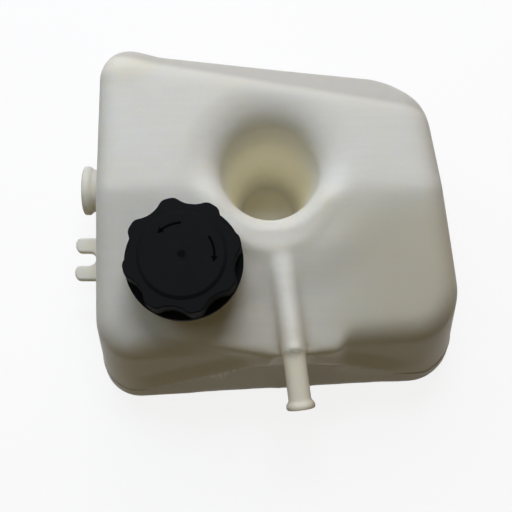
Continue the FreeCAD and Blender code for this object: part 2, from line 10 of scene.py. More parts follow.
import bmesh
import bpy
import numpy as np
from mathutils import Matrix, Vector

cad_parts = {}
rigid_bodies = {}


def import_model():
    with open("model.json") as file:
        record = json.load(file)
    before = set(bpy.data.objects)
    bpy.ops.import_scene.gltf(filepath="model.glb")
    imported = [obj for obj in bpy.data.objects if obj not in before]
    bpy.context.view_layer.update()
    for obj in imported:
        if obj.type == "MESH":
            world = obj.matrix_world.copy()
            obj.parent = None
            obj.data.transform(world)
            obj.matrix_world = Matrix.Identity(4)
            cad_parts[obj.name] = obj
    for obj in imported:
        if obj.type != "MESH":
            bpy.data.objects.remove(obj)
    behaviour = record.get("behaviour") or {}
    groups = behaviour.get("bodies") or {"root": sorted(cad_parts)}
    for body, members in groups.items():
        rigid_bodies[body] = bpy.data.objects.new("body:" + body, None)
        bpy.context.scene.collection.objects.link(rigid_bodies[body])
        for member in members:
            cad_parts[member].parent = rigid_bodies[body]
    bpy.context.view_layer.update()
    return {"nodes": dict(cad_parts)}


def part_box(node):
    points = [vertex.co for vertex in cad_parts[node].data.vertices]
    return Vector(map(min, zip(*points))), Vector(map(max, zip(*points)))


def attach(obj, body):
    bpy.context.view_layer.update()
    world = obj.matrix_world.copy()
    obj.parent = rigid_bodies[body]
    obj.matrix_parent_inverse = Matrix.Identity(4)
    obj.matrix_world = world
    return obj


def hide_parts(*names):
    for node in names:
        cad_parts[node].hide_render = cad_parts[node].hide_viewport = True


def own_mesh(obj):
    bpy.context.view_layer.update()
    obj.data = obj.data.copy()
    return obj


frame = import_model()
LOG = logging.getLogger("coolant_tank")
MM = 0.001
NEAR = 1e-6
MERGE_WITHIN = 0.002 * MM
BLACK = (0.0, 0.0, 0.0, 1.0)

Value = Union["Sock", float]
Colour = tuple[float, float, float, float]
Point = tuple[float, float, float]
Span = tuple[float, float]
Measure = Union[float, np.ndarray]


def mm(*lengths: float) -> tuple[float, ...]:
    """Lengths in millimetres as metres."""
    return tuple(length * MM for length in lengths)


class Body(Enum):
    """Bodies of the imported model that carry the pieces."""

    TANK = "tank"
    CAP = "cap"
    INSERT = "insert"
    PRESSURE = "pressure_valve"


class Slot(Enum):
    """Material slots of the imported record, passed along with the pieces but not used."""

    TANK = "tank"
    CAP = "cap"
    SPRING = "spring"


# Plan of the tank


@dataclass(frozen=True)
class WellPlan:
    """Place of the well in plan and the heading of the channel that leaves it, in degrees."""

    centre: Point = mm(-6.0, 29.5, 0.0)
    heading: float = -82.5

    @property
    def course(self) -> Point:
        """Unit vector along the channel."""
        turn = math.radians(self.heading)
        return math.cos(turn), math.sin(turn), 0.0


@dataclass(frozen=True)
class RearFacet:
    """Facet along the rear edge: the way it faces in plan and where it starts."""

    facing: Point = (0.180, 0.983, 0.0)
    start: float = 87.9 * MM


WELL = WellPlan()
FACET = RearFacet()


# Shader arithmetic


class Sock:
    """Shader socket that takes part in arithmetic; each operator adds a Math node."""

    def __init__(self, tree: bpy.types.NodeTree, link: bpy.types.NodeSocket) -> None:
        """Wrap an output socket of a node tree."""
        self.tree = tree
        self.link = link

    def _math(self, operation: str, first: Value, second: Value) -> "Sock":
        """Add one Math node.

        Args:
            operation: name of the Math operation.
            first: left operand.
            second: right operand.

        Returns:
            The result socket.
        """
        node = self.tree.nodes.new("ShaderNodeMath")
        node.operation = operation
        for socket, value in zip(node.inputs, (first, second)):
            if isinstance(value, Sock):
                self.tree.links.new(value.link, socket)
            else:
                socket.default_value = value
        return Sock(self.tree, node.outputs[0])

    def __add__(self, other: Value) -> "Sock":
        """Sum with a socket or a number."""
        return self._math("ADD", self, other)

    def __radd__(self, other: Value) -> "Sock":
        """Sum with a number on the left."""
        return self._math("ADD", other, self)

    def __sub__(self, other: Value) -> "Sock":
        """Difference from a socket or a number."""
        return self._math("SUBTRACT", self, other)

    def __rsub__(self, other: Value) -> "Sock":
        """Difference with a number on the left."""
        return self._math("SUBTRACT", other, self)

    def __mul__(self, other: Value) -> "Sock":
        """Product with a socket or a number."""
        return self._math("MULTIPLY", self, other)

    def __rmul__(self, other: Value) -> "Sock":
        """Product with a number on the left."""
        return self._math("MULTIPLY", other, self)

    def clipped(self, low: float, high: float) -> "Sock":
        """Value held between two limits."""
        return self._math("MINIMUM", self._math("MAXIMUM", self, low), high)


class Recipe:
    """Node tree of one finish with a Principled shader at its end."""

    def __init__(self, name: str) -> None:
        """Start a material with its default Principled shader.

        Args:
            name: name of the material.
        """
        self.material = bpy.data.materials.new(name)
        self.material.use_nodes = True
        self.tree = self.material.node_tree
        self.shader = self.tree.nodes["Principled BSDF"]
        self.place = self.node("ShaderNodeTexCoord", output="Object")

    def feed(self, socket: bpy.types.NodeSocket, value: Any) -> None:
        """Link a wrapped socket, or set a plain value.

        Args:
            socket: input socket of a node.
            value: wrapped socket or plain value.
        """
        if isinstance(value, Sock):
            self.tree.links.new(value.link, socket)
        else:
            socket.default_value = value

    def node(
        self,
        kind: str,
        settings: Optional[dict[str, Any]] = None,
        inputs: Optional[dict[Any, Any]] = None,
        output: Union[int, str] = 0,
    ) -> Sock:
        """Add any node.

        Args:
            kind: node type.
            settings: attributes of the node, such as the operation of a Math node.
            inputs: values or links by socket name or number.
            output: name or number of the socket that is handed on.

        Returns:
            The chosen output socket.
        """
        made = self.tree.nodes.new(kind)
        for name, value in (settings or {}).items():
            setattr(made, name, value)
        for name, value in (inputs or {}).items():
            self.feed(made.inputs[name], value)
        return Sock(self.tree, made.outputs[output])

    def noise(self, scale: float, detail: float = 3.0, stretch: Point = (1, 1, 1)) -> Sock:
        """Noise on object coordinates.

        Args:
            scale: repeats per metre.
            detail: octaves.
            stretch: extra scale along each axis.

        Returns:
            The noise factor, from 0 to 1.
        """
        spot = self.node("ShaderNodeMapping", None, {"Vector": self.place, "Scale": stretch})
        return self.node(
            "ShaderNodeTexNoise", None, {"Vector": spot, "Scale": scale, "Detail": detail}
        )

    def axis(self, name: str) -> Sock:
        """Object coordinate along one axis."""
        return self.node("ShaderNodeSeparateXYZ", None, {0: self.place}, name)

    def vector(self, operation: str, *operands: Any, output: Union[int, str] = 0) -> Sock:
        """Result of one Vector Math node."""
        inputs = dict(enumerate(operands))
        return self.node("ShaderNodeVectorMath", {"operation": operation}, inputs, output)

    def mix(self, share: Value, first: Any, second: Any) -> Sock:
        """Colour between two colours."""
        return self.node("ShaderNodeMix", {"data_type": "RGBA"}, {0: share, 6: first, 7: second}, 2)

    def rise(self, value: Sock, span: Span) -> Sock:
        """Share that rises from 0 to 1 across a span, eased at both ends.

        Args:
            value: the measured value.
            span: where the rise starts and ends.

        Returns:
            The share.
        """
        limits = {"Value": value, "From Min": span[0], "From Max": span[1]}
        return self.node("ShaderNodeMapRange", {"interpolation_type": "SMOOTHSTEP"}, limits)

    def fall(self, value: Sock, span: Span) -> Sock:
        """Share that falls from 1 to 0 across a span, eased at both ends."""
        return 1.0 - self.rise(value, span)

    def bump(self, height: Sock, depth: float, strength: float) -> Sock:
        """Normal from a height map with a depth in metres."""
        inputs = {"Height": height, "Distance": depth, "Strength": strength}
        return self.node("ShaderNodeBump", None, inputs, "Normal")

    def surface(self, **inputs: Any) -> bpy.types.Material:
        """Feed the Principled shader.

        Args:
            inputs: socket values or links, with underscores for the blanks in their names.

        Returns:
            The finished material.
        """
        for name, value in inputs.items():
            self.feed(self.shader.inputs[name.replace("_", " ")], value)
        return self.material


# Finishes


@dataclass(frozen=True)
class MilkyPlastic:
    """Natural polyethylene of the tank: cloudy white with faint flow marks."""

    white: Colour = (0.80, 0.777, 0.685, 1.0)
    ivory: Colour = (0.735, 0.70, 0.56, 1.0)
    # grey: painted shade for the rear facet, which tilts away from the lamps
    grey: Colour = (0.55, 0.53, 0.465, 1.0)
    # Painted shade: creamier, darker colour for the right deck and the front wall
    shade_cream: Colour = (0.66, 0.61, 0.44, 1.0)
    cloud_scale: float = 16.0
    cloud_gloss: float = 0.18
    streak_scale: float = 60.0
    streak_stretch: Point = (0.35, 5.0, 2.0)
    streak_share: float = 0.4
    mottle_start: float = 0.26
    mottle_contrast: float = 1.7
    speck_scale: float = 900.0
    speck_contrast: float = 0.5
    speck_gloss: float = 0.10
    peel_scale: float = 420.0
    grain_scale: float = 1500.0
    grain_share: float = 0.3
    relief: float = 0.12 * MM
    relief_strength: float = 0.6
    # Painted shade: the rear facet is mixed towards grey across this blend
    facet_blend: float = 3.0 * MM
    facet_shade_share: float = 0.95
    # Painted shade on the right deck and the front wall, which face away from the lamps
    right_from_x: Span = mm(5.0, 80.0)
    right_until_y: Span = mm(-12.0, 24.0)
    right_shade_share: float = 0.65
    front_until_y: Span = mm(-102.0, -84.0)
    front_shade_share: float = 0.8
    roughness: float = 0.40
    shine: float = 0.09
    glow: float = 0.55
    glow_depth: float = 13.0 * MM
    glow_radius: Point = (1.0, 0.85, 0.55)
    # Painted light: emission colours for the glow inside the well and the highlights on its rim and
    # channel crest
    painted_well_glow: Colour = (0.076, 0.067, 0.034, 1.0)
    painted_highlight_glow: Colour = (0.092, 0.096, 0.102, 1.0)
    # Masks of the painted glow: inside the well, along the channel crest and on the well rim
    well_reach: Span = mm(33.5, 36.5)
    well_from_z: Span = mm(4.0, 50.0)
    well_until_z: Span = mm(62.0, 112.0)
    crest_along: Span = mm(56.0, 66.0)
    crest_from_z: Span = mm(86.0, 94.0)
    crest_half_width: Span = mm(1.0, 9.0)
    rim_from: Span = mm(37.0, 45.0)
    rim_until: Span = mm(48.0, 60.0)
    rim_from_z: Span = mm(104.0, 116.0)
    rim_share: float = 0.5

    def material(self) -> bpy.types.Material:
        """Build the finish.

        Returns:
            The material.
        """
        recipe = Recipe("milky_plastic")
        cloud = recipe.noise(self.cloud_scale, detail=4.0)
        speck = recipe.noise(self.speck_scale, detail=2.0)
        peel = recipe.noise(self.peel_scale)
        grain = recipe.noise(self.grain_scale, detail=2.0)
        relief = peel * (1.0 - self.grain_share) + grain * self.grain_share
        gloss = (cloud - 0.5) * self.cloud_gloss + (speck - 0.5) * self.speck_gloss
        return recipe.surface(
            Base_Color=self._colour(recipe, cloud, speck),
            Roughness=self.roughness + gloss,
            Normal=recipe.bump(relief, self.relief, self.relief_strength),
            Subsurface_Weight=self.glow,
            Subsurface_Scale=self.glow_depth,
            Subsurface_Radius=self.glow_radius,
            Specular_IOR_Level=self.shine,
            # Painted light: emission glow inside the well and painted highlights on the rim and channel
            # crest
            Emission_Strength=1.0,
            Emission_Color=self._painted_glow(recipe),
        )

    def _colour(self, recipe: Recipe, cloud: Sock, speck: Sock) -> Sock:
        """Mottled white with painted shade: greyer on the rear facet, creamier and darker on the right
        deck and the front wall.

        Args:
            recipe: recipe of the finish.
            cloud: broad noise.
            speck: fine noise.

        Returns:
            The colour.
        """
        streak = recipe.noise(self.streak_scale, stretch=self.streak_stretch)
        mottle = cloud * (1.0 - self.streak_share) + streak * self.streak_share - self.mottle_start
        mottle = mottle * self.mottle_contrast + (speck - 0.5) * self.speck_contrast
        colour = recipe.mix(mottle.clipped(0.0, 1.0), self.white, self.ivory)
        # Painted shade: greyer on the rear facet, for the shade where it tilts away from the light
        behind = recipe.vector("DOT_PRODUCT", recipe.place, FACET.facing, output="Value")
        edge = (FACET.start - self.facet_blend, FACET.start + self.facet_blend)
        colour = recipe.mix(recipe.rise(behind, edge) * self.facet_shade_share, colour, self.grey)
        # Painted shade: creamier and darker on the right deck and on the front wall
        y = recipe.axis("Y")
        right = recipe.rise(recipe.axis("X"), self.right_from_x) * recipe.fall(y, self.right_until_y)
        front = recipe.fall(y, self.front_until_y)
        shade_cream = right * self.right_shade_share + front * self.front_shade_share
        return recipe.mix(shade_cream.clipped(0.0, 1.0), colour, self.shade_cream)

    def _painted_glow(self, recipe: Recipe) -> Sock:
        """Painted light as emission: a glow inside the well that stands in for light through the thin
        walls, and painted highlights on its rim and along the channel crest to the tube.

        Args:
            recipe: recipe of the finish.

        Returns:
            The colour of the light.
        """
        height = recipe.axis("Z")
        plan = recipe.vector("MULTIPLY", recipe.place, (1, 1, 0))
        away = recipe.vector("SUBTRACT", plan, WELL.centre)
        reach = recipe.vector("LENGTH", away, output="Value")
        along = recipe.vector("DOT_PRODUCT", away, WELL.course, output="Value")
        aside_squared = reach * reach - along * along
        narrow, wide = self.crest_half_width
        inside = recipe.fall(reach, self.well_reach)
        inside = inside * recipe.rise(height, self.well_from_z) * recipe.fall(height, self.well_until_z)
        crest = recipe.rise(along, self.crest_along) * recipe.rise(height, self.crest_from_z)
        crest = crest * recipe.fall(aside_squared, (narrow * narrow, wide * wide))
        rim = recipe.rise(reach, self.rim_from) * recipe.fall(reach, self.rim_until)
        rim = rim * recipe.rise(height, self.rim_from_z)
        # Painted light: glow inside the well, then painted highlights on the crest and rim
        glow = recipe.mix(inside, BLACK, self.painted_well_glow)
        return recipe.mix((crest + rim * self.rim_share).clipped(0.0, 1.0), glow, self.painted_highlight_glow)


@dataclass(frozen=True)
class GrainedPlastic:
    """Dark moulded plastic with a fine eroded grain."""

    name: str
    dark: Colour
    pale: Colour
    roughness: float
    shine: float
    cloud_scale: float = 55.0
    cloud_share: float = 0.5
    cloud_gloss: float = 0.16
    dust_scale: float = 260.0
    dust: Span = (0.55, 0.85)
    dust_share: float = 0.4
    grain_scale: float = 1800.0
    grain_gloss: float = 0.12
    relief: float = 0.10 * MM
    relief_strength: float = 0.7

    def material(self) -> bpy.types.Material:
        """Build the finish.

        Returns:
            The material.
        """
        recipe = Recipe(self.name)
        cloud = recipe.noise(self.cloud_scale, detail=4.0)
        grain = recipe.noise(self.grain_scale)
        dust = recipe.rise(recipe.noise(self.dust_scale, detail=5.0), self.dust)
        wear = (cloud * self.cloud_share + dust * self.dust_share).clipped(0.0, 1.0)
        gloss = (cloud - 0.5) * self.cloud_gloss + (grain - 0.5) * self.grain_gloss
        return recipe.surface(
            Base_Color=recipe.mix(wear, self.dark, self.pale),
            Roughness=self.roughness + gloss,
            Normal=recipe.bump(grain, self.relief, self.relief_strength),
            Specular_IOR_Level=self.shine,
        )


@dataclass(frozen=True)
class Rubber:
    """Black sealing rubber with a faint bloom."""

    dark: Colour = (0.012, 0.012, 0.012, 1.0)
    pale: Colour = (0.035, 0.035, 0.034, 1.0)
    roughness: float = 0.7
    cloud_scale: float = 180.0
    cloud_gloss: float = 0.2
    bloom: Span = (0.4, 0.8)
    grain_scale: float = 1600.0
    relief: float = 0.06 * MM
    relief_strength: float = 0.5

    def material(self) -> bpy.types.Material:
        """Build the finish.

        Returns:
            The material.
        """
        recipe = Recipe("sealing_rubber")
        cloud = recipe.noise(self.cloud_scale, detail=4.0)
        grain = recipe.noise(self.grain_scale, detail=2.0)
        return recipe.surface(
            Base_Color=recipe.mix(recipe.rise(cloud, self.bloom), self.dark, self.pale),
            Roughness=self.roughness + (cloud - 0.5) * self.cloud_gloss,
            Normal=recipe.bump(grain, self.relief, self.relief_strength),
        )


@dataclass(frozen=True)
class DrawnMetal:
    """Bare metal with fine drawing or turning marks."""

    name: str
    bright: Colour
    dull: Colour
    roughness: float
    cloud_scale: float = 240.0
    cloud_gloss: float = 0.15
    tarnish: Span = (0.35, 0.75)
    mark_scale: float = 900.0
    mark_stretch: Point = (1.0, 1.0, 6.0)
    mark_gloss: float = 0.2
    relief: float = 0.03 * MM
    relief_strength: float = 0.4

    def material(self) -> bpy.types.Material:
        """Build the finish.

        Returns:
            The material.
        """
        recipe = Recipe(self.name)
        cloud = recipe.noise(self.cloud_scale, detail=4.0)
        marks = recipe.noise(self.mark_scale, detail=2.0, stretch=self.mark_stretch)
        gloss = (marks - 0.5) * self.mark_gloss + (cloud - 0.5) * self.cloud_gloss
        return recipe.surface(
            Base_Color=recipe.mix(recipe.rise(cloud, self.tarnish), self.bright, self.dull),
            Roughness=self.roughness + gloss,
            Metallic=1.0,
            Normal=recipe.bump(marks, self.relief, self.relief_strength),
        )


@dataclass(frozen=True)
class PaleFloor:
    """Pale studio floor that reads white in the picture and keeps a soft shadow."""

    bounce: Colour = (0.23, 0.17, 0.08, 1.0)
    white: Colour = (1.0, 1.0, 1.0, 1.0)
    cloud_scale: float = 2.0
    cloud_share: float = 0.1
    shadow_share: float = 0.14

    def material(self) -> bpy.types.Material:
        """Build the finish.

        Returns:
            The material.
        """
        recipe = Recipe("pale_floor")
        seen = recipe.node("ShaderNodeLightPath", output="Is Camera Ray")
        gloss = recipe.node("ShaderNodeLightPath", output="Is Glossy Ray")
        clear = recipe.node("ShaderNodeLightPath", output="Is Transmission Ray")
        tint = recipe.mix(recipe.noise(self.cloud_scale) * self.cloud_share, self.bounce, self.white)
        plain = recipe.node("ShaderNodeBsdfDiffuse", None, {"Color": tint})
        lit = recipe.node("ShaderNodeBsdfDiffuse", None, {"Color": self.white})
        glow = recipe.node("ShaderNodeEmission", None, {"Color": self.white, "Strength": 1.0})
        shown = recipe.node("ShaderNodeMixShader", None, {0: self.shadow_share, 1: glow, 2: lit})
        direct = (seen + gloss + clear).clipped(0.0, 1.0)
        both = recipe.node("ShaderNodeMixShader", None, {0: direct, 1: plain, 2: shown})
        recipe.feed(recipe.tree.nodes["Material Output"].inputs["Surface"], both)
        return recipe.material


class Finishes:
    """All materials of the scene, each built once."""

    def __init__(self) -> None:
        """Build every finish."""
        self.milky = MilkyPlastic().material()
        self.black = GrainedPlastic(
            "black_cap_plastic", dark=(0.0090, 0.0096, 0.0100, 1.0), pale=(0.0150, 0.0158, 0.0166, 1.0),
            roughness=0.55, shine=0.015,
        ).material()
        # Painted shade: the arrows are smoother and much darker than the cap, the darkness standing in
        # for the shade along their relief
        self.smooth_shaded_black = GrainedPlastic(
            "smooth_shaded_cap_plastic", dark=(0.0016, 0.0017, 0.0018, 1.0), pale=(0.0034, 0.0036, 0.0038, 1.0),
            roughness=0.50, shine=0.005,
        ).material()
        self.grey = GrainedPlastic(
            "grey_insert_plastic", dark=(0.035, 0.036, 0.038, 1.0), pale=(0.07, 0.071, 0.074, 1.0),
            roughness=0.45, shine=0.4,
        ).material()
        self.rubber = Rubber().material()
        self.steel = DrawnMetal(
            "spring_steel", bright=(0.62, 0.61, 0.59, 1.0), dull=(0.42, 0.41, 0.39, 1.0), roughness=0.28
        ).material()
        self.brass = DrawnMetal(
            "turned_brass", bright=(0.78, 0.60, 0.30, 1.0), dull=(0.56, 0.41, 0.20, 1.0), roughness=0.26
        ).material()
        self.floor = PaleFloor().material()


# Modelling bench


class Bench:
    """Modelling steps that the sub-assemblies share."""

    @staticmethod
    def clear() -> None:
        """Leave edit mode and deselect everything."""
        active = bpy.context.view_layer.objects.active
        if active is not None and active.mode != "OBJECT":
            bpy.ops.object.mode_set(mode="OBJECT")
        bpy.ops.object.select_all(action="DESELECT")

    @classmethod
    def take(cls, piece: bpy.types.Object) -> None:
        """Make a piece the only selected and active one.

        Args:
            piece: the object.
        """
        cls.clear()
        piece.select_set(True)
        bpy.context.view_layer.objects.active = piece

    @staticmethod
    def started(name: str) -> bpy.types.Object:
        """Name the object that has just been added or joined.

        Args:
            name: its name.

        Returns:
            The object.
        """
        piece = bpy.context.view_layer.objects.active
        piece.name = name
        piece.data.name = name
        return piece

    @classmethod
    def join(cls, first: bpy.types.Object, *others: bpy.types.Object) -> None:
        """Join other objects into the first.

        Args:
            first: the object that stays.
            others: the objects that become part of it.
        """
        cls.take(first)
        for other in others:
            other.select_set(True)
        bpy.ops.object.join()

    @classmethod
    def copy_of(cls, node: str, name: str) -> bpy.types.Object:
        """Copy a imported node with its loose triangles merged.

        Args:
            node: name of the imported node.
            name: name of the copy.

        Returns:
            The copy.
        """
        piece = bpy.data.objects.new(name, frame["nodes"][node].data.copy())
        piece.data.name = name
        bpy.context.scene.collection.objects.link(piece)
        cls.take(piece)
        bpy.ops.object.mode_set(mode="EDIT")
        bpy.ops.mesh.select_all(action="SELECT")
        bpy.ops.mesh.customdata_custom_splitnormals_clear()
        bpy.ops.mesh.remove_doubles(threshold=MERGE_WITHIN)
        bpy.ops.object.mode_set(mode="OBJECT")
        return piece

    @classmethod
    def apply(cls, piece: bpy.types.Object, kind: str, **settings: Any) -> None:
        """Add a modifier and apply it.

        Args:
            piece: the object.
            kind: modifier type.
            settings: attributes of the modifier.
        """
        cls.take(piece)
        modifier = piece.modifiers.new(kind.lower(), kind)
        for name, value in settings.items():
            setattr(modifier, name, value)
        bpy.ops.object.modifier_apply(modifier=modifier.name)

    @staticmethod
    def axis() -> Vector:
        """Find the top of the cap on the filler axis.

        Returns:
            The place.
        """
        low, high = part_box("neck_ring")
        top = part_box("cap_shell")[1]
        return Vector(((low.x + high.x) / 2, (low.y + high.y) / 2, top.z))

    @staticmethod
    def points(piece: bpy.types.Object) -> np.ndarray:
        """List the vertex places of a mesh.

        Args:
            piece: the object.

        Returns:
            One row for each vertex.
        """
        flat = np.empty(len(piece.data.vertices) * 3, np.float32)
        piece.data.vertices.foreach_get("co", flat)
        return flat.reshape(-1, 3)

    @staticmethod
    def triangles(piece: bpy.types.Object) -> int:
        """Number of triangles of a mesh."""
        return sum(len(face.vertices) - 2 for face in piece.data.polygons)

    @classmethod
    def pick(cls, piece: bpy.types.Object, mode: str, test: Callable[[Any], bool]) -> None:
        """Enter edit mode with the elements selected that pass a test.

        Args:
            piece: the object.
            mode: VERT, EDGE or FACE.
            test: takes a bmesh element and says whether it is picked.
        """
        cls.take(piece)
        bpy.ops.object.mode_set(mode="EDIT")
        bpy.ops.mesh.select_mode(type=mode)
        bpy.ops.mesh.select_all(action="DESELECT")
        mesh = bmesh.from_edit_mesh(piece.data)
        group = {"VERT": mesh.verts, "EDGE": mesh.edges, "FACE": mesh.faces}[mode]
        for element in group:
            element.select_set(bool(test(element)))
        mesh.select_flush_mode()
        bmesh.update_edit_mesh(piece.data)

    @classmethod
    def finish(
        cls,
        piece: bpy.types.Object,
        finish: bpy.types.Material,
        body: Body,
        slot: Slot,
        angle: Optional[float] = 35.0,
    ) -> bpy.types.Object:
        """Settle a piece at the origin, dress it and let it ride on its body.

        Args:
            piece: the object.
            finish: its material.
            body: body that carries it.
            slot: record slot of its finish; not used.
            angle: edges under this angle are shaded smooth, in degrees; None leaves the shading.

        Returns:
            The piece.
        """
        cls.take(piece)
        bpy.ops.object.transform_apply(location=True, rotation=True, scale=True)
        if angle is not None:
            bpy.ops.object.shade_smooth_by_angle(angle=math.radians(angle))
        piece.data.materials.clear()
        piece.data.materials.append(finish)
        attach(piece, body.value)
        return piece


# Sub-assemblies


def slope(value: np.ndarray, span: Span) -> np.ndarray:
    """Share that changes evenly from 0 to 1 across a span."""
    return np.clip((value - span[0]) / (span[1] - span[0]), 0.0, 1.0)


def rise(value: np.ndarray, span: Span) -> np.ndarray:
    """Share that rises from 0 to 1 across a span, eased at both ends."""
    share = slope(value, span)
    return share * share * (3.0 - 2.0 * share)


def fall(value: np.ndarray, span: Span) -> np.ndarray:
    """Share that falls from 1 to 0 across a span, eased at both ends."""
    return 1.0 - rise(value, span)


class SkinPlaces:
    """Where the vertices of the skin lie, by the axes, the well, its channel and the filler."""

    def __init__(self, spots: np.ndarray) -> None:
        """Measure every vertex.

        Args:
            spots: vertex places as rows.
        """
        self.x, self.y, self.z = spots.T
        across, back = self.x - WELL.centre[0], self.y - WELL.centre[1]
        course, filler = WELL.course, Bench.axis()
        self.reach = np.hypot(across, back)
        self.along = across * course[0] + back * course[1]
        self.aside = np.abs(across * course[1] - back * course[0])
        self.behind = self.x * FACET.facing[0] + self.y * FACET.facing[1]
        self.off_filler = np.hypot(self.x - filler.x, self.y - filler.y)

    def from_point(self, point: Point) -> np.ndarray:
        """Distance of each vertex from a point."""
        return np.sqrt((self.x - point[0]) ** 2 + (self.y - point[1]) ** 2 + (self.z - point[2]) ** 2)


Rule = Callable[[SkinPlaces], np.ndarray]


@dataclass
class TankSkin:
    """Blow-moulded tank with softly blended folds and the ledge of its parting line."""

    finishes: Finishes
    voxel: float = 1.3 * MM
    budget: int = 190_000
    share_steps: int = 40
    light_rounds: int = 8
    deep_rounds: int = 170
    flank_rounds: int = 90
    sleeve_at: Point = mm(8.2, -78.6, 98.9)
    sleeve_to: Point = mm(10.3, -94.3, 96.2)
    sleeve_radius: float = 8.7 * MM
    sleeve_wall: float = 2.4 * MM
    sleeve_sides: int = 64
    neck_reach: float = 34.0 * MM
    neck_from_z: float = 108.0 * MM
    tube_from_y: float = -99.0 * MM
    side_from_x: float = -127.5 * MM
    crisp_share: float = 0.15
    front_run: Span = mm(10.0, -24.0)
    front_clear: Span = mm(36.0, 44.0)
    deck_z: Span = mm(70.0, 84.0)
    lip_fall: float = 8.5 * MM
    lip_z: Span = mm(78.0, 106.0)
    lip_reach: Span = mm(48.0, 63.0)
    flare_fall: float = 9.0 * MM
    flare_z: Span = mm(84.0, 108.0)
    flare_reach: Span = mm(36.0, 57.0)
    flare_y: Span = mm(6.0, 34.0)
    facet_fall: float = 3.0 * MM
    facet_run: float = 18.0 * MM
    facet_z: Span = mm(90.0, 112.0)
    foot_fill: float = 3.0 * MM
    foot_from: Span = mm(50.0, 56.0)
    foot_until: Span = mm(57.0, 96.0)
    ridge_rise: float = 5.0 * MM
    ridge_run: Span = mm(56.0, 110.0)
    ridge_aside: Span = mm(2.0, 9.0)
    ridge_end: float = 124.5 * MM
    ridge_z: Span = mm(84.0, 96.0)
    shoulder_from: Span = mm(45.0, 51.0)
    shoulder_until: Span = mm(64.0, 84.0)
    shoulder_y: Span = mm(4.0, 30.0)
    mouth_from: Span = mm(32.0, 38.0)
    mouth_until: Span = mm(56.0, 64.0)
    mouth_y: Span = mm(-4.0, 26.0)
    mouth_z: Span = mm(88.0, 106.0)
    crest_aside: Span = mm(5.0, 14.0)
    crest_along: Span = mm(54.0, 62.0)
    crest_kept: float = 0.9
    collar_clear: Span = mm(35.0, 41.0)
    flank_share: float = 0.7
    flank_aside: Span = mm(14.0, 24.0)
    flank_from: Span = mm(56.0, 64.0)
    flank_until: Span = mm(117.0, 122.0)
    flank_z: Span = mm(76.0, 88.0)
    prow_from: Span = mm(11.0, 16.0)
    prow_until: Span = mm(62.0, 80.0)
    prow_along: Span = mm(88.0, 98.0)
    ledge: float = 3.0 * MM
    ledge_over: Span = mm(0.0, 24.0)
    ledge_under: Span = mm(-2.4, 0.0)
    ledge_y: Span = mm(-92.0, -76.0)
    ledge_left: Span = mm(-116.0, -86.0)
    ledge_right: Span = mm(80.0, 108.0)
    tube_x: float = 10.0 * MM
    tube_clear: Span = mm(11.0, 17.0)
    hump: Point = mm(-106.0, 107.0, 117.0)
    hump_reach: Span = mm(5.2, 26.0)
    hump_rise: float = 2.6 * MM

    def build(self) -> bpy.types.Object:
        """Model the skin from a copy of the tank solid.

        Returns:
            The skin.
        """
        skin = Bench.copy_of("tank_body", "tank_skin")
        self._add_sleeve(skin)
        Bench.apply(skin, "REMESH", mode="VOXEL", voxel_size=self.voxel)
        self._smooth(skin, self._evenness, self.light_rounds)
        self._push(skin, self._lip, -self.lip_fall, "Z")
        self._push(skin, self._flare, -self.flare_fall, "Z")
        self._push(skin, self._back_facet, -self.facet_fall, "Z")
        self._push(skin, self._foot, self.foot_fill, "Z")
        self._push(skin, self._ridge, self.ridge_rise, "Z")
        self._smooth(skin, self._collar, self.deep_rounds)
        self._smooth(skin, self._flanks, self.flank_rounds)
        self._push(skin, self._above_parting, self.ledge)
        self._push(skin, self._corner, self.hump_rise)
        share = self.budget / Bench.triangles(skin)
        if share < 1.0:
            Bench.apply(skin, "DECIMATE", ratio=share)
        Bench.take(skin)
        bpy.ops.object.shade_smooth()
        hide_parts("tank_body")
        return Bench.finish(skin, self.finishes.milky, Body.TANK, Slot.TANK, angle=None)

    def _add_sleeve(self, skin: bpy.types.Object) -> None:
        """Carry the channel on to the front edge of the prow with a sleeve round the hose tube.

        Args:
            skin: the skin that takes up the sleeve.
        """
        start, end = Vector(self.sleeve_at), Vector(self.sleeve_to)
        Bench.clear()
        bpy.ops.mesh.primitive_cylinder_add(
            vertices=self.sleeve_sides, radius=self.sleeve_radius, depth=(end - start).length,
            end_fill_type="NOTHING", location=(start + end) / 2,
            rotation=(end - start).to_track_quat("Z", "Y").to_euler(),
        )
        sleeve = Bench.started("sleeve")
        bpy.ops.object.transform_apply(location=True, rotation=True, scale=True)
        Bench.apply(sleeve, "SOLIDIFY", thickness=self.sleeve_wall, offset=-1.0)
        Bench.join(skin, sleeve)

    def _evenness(self, at: SkinPlaces) -> np.ndarray:
        """Share of the light smoothing; hose spigots, lug and neck stay crisp.

        Args:
            at: places of the vertices.

        Returns:
            The shares.
        """
        neck = (at.off_filler < self.neck_reach) & (at.z > self.neck_from_z)
        crisp = neck | (at.y < self.tube_from_y) | (at.x < self.side_from_x)
        return np.where(crisp, self.crisp_share, 1.0)

    def _front(self, at: SkinPlaces) -> np.ndarray:
        """Share of the front half of the well, clear of the filler neck."""
        return slope(at.y, self.front_run) * rise(at.off_filler, self.front_clear)

    def _lip(self, at: SkinPlaces) -> np.ndarray:
        """Share of the fall of the mouth towards the front."""
        return rise(at.z, self.lip_z) * fall(at.reach, self.lip_reach) * self._front(at)

    def _flare(self, at: SkinPlaces) -> np.ndarray:
        """Share of the fall of the mouth at the back and the sides."""
        return rise(at.z, self.flare_z) * fall(at.reach, self.flare_reach) * rise(at.y, self.flare_y)

    def _back_facet(self, at: SkinPlaces) -> np.ndarray:
        """Share of the fall of the facet along the rear edge."""
        return slope(at.behind, (FACET.start, FACET.start + self.facet_run)) * rise(at.z, self.facet_z)

